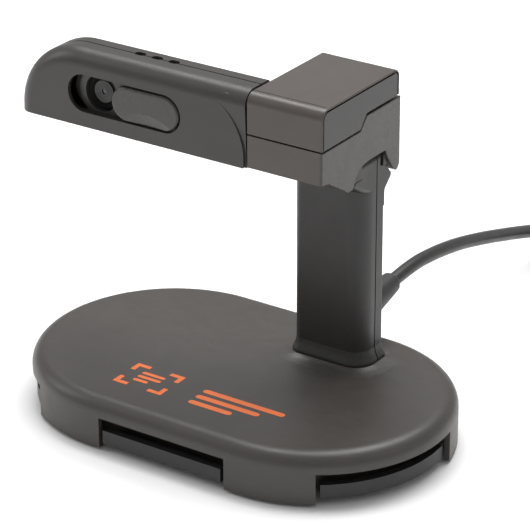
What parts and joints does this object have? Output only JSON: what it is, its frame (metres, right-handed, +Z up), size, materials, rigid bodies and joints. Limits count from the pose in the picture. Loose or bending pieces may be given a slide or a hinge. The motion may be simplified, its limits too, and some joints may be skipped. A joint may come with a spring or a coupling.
{
  "type": "document camera",
  "caption": "Desktop document camera: stadium-shaped weighted base, short post, fold-up arm with a twisting camera blade and a sliding lens cover, and a fixed cord with plug.",
  "frame": {"origin": "centre of the rubber pad's underside, on the surface the camera stands on", "axes": "+Z up; +X to the right along the base's long axis, so the camera blade points to -X; +Y to the back, where the cord leaves"},
  "size_m": [0.212, 0.3322, 0.1364],
  "materials": {
    "satin_shell": "satin, fine-grained moulded dark warm grey",
    "gloss_panel": "polished dark grey",
    "black_plastic": "moulded black",
    "rubber": "matte sheet rubber",
    "ballast_iron": "as cast, oiled",
    "sheet_steel": "zinc-plated sheet",
    "screw_steel": "plated, small fasteners",
    "plated_steel": "bright nickel plate",
    "soft_boot": "soft moulded dark grey",
    "cord_jacket": "smooth dark grey jacket",
    "circuit_board": "green solder mask",
    "chip_black": "moulded chip packages",
    "ribbon": "flexible flat cable",
    "lens_glass": "coated lens",
    "filter_glass": "coated filter"
  },
  "bodies": {
    "stand": {"base_shell": "satin_shell", "base_plate": "black_plastic", "anti_slip_pad": "rubber", "ballast_plate": "ballast_iron", "base_screws": "screw_steel", "post_front_shell": "satin_shell", "post_back_shell": "satin_shell", "post_spine": "sheet_steel", "spine_screws": "screw_steel", "post_screws": "screw_steel", "hinge_bush": "sheet_steel", "stop_pad": "rubber", "post_harness": "cord_jacket", "cable_clamp": "black_plastic", "cable_boot": "soft_boot", "usb_cord": "cord_jacket", "cord_coil": "cord_jacket", "cord_tie": "soft_boot", "cord_tail": "cord_jacket", "plug_grip": "soft_boot", "plug_shell": "plated_steel", "plug_tongue": "black_plastic"},
    "head": {"head_top_cover": "satin_shell", "head_bottom_cover": "satin_shell", "head_upper_end_cap": "gloss_panel", "head_lower_end_cap": "gloss_panel", "hinge_barrels": "satin_shell", "hinge_pin": "plated_steel", "head_screws": "screw_steel", "twist_bush": "sheet_steel", "friction_washer": "black_plastic", "head_harness": "cord_jacket"},
    "blade": {"blade_front_shell": "satin_shell", "blade_back_shell": "satin_shell", "blade_screws": "screw_steel", "twist_shaft": "plated_steel", "shaft_collar": "plated_steel", "camera_board": "circuit_board", "board_chips": "chip_black", "image_sensor": "chip_black", "ir_filter": "filter_glass", "lens_holder": "black_plastic", "lens_barrel": "black_plastic", "lens_glass": "lens_glass", "lens_baffle": "black_plastic", "lens_bezel": "black_plastic", "microphone": "plated_steel", "blade_harness": "ribbon"},
    "cover": {"lens_cover": "satin_shell", "cover_guide": "black_plastic", "detent_spring": "plated_steel"}
  },
  "joints": [
    {"name": "arm_fold", "type": "hinge", "parent": "stand", "child": "head", "pos_m": [0.0382, 0, 0.1037], "axis": [0, 1, 0], "range_deg": [0, 90]},
    {"name": "blade_twist", "type": "hinge", "parent": "head", "child": "blade", "pos_m": [0.0099, -0.002, 0.1223], "axis": [1, 0, 0], "range_deg": [-90, 180]},
    {"name": "cover_slide", "type": "slide", "parent": "blade", "child": "cover", "axis": [-1, 0, 0], "range_m": [0, 0.0195]}
  ]
}
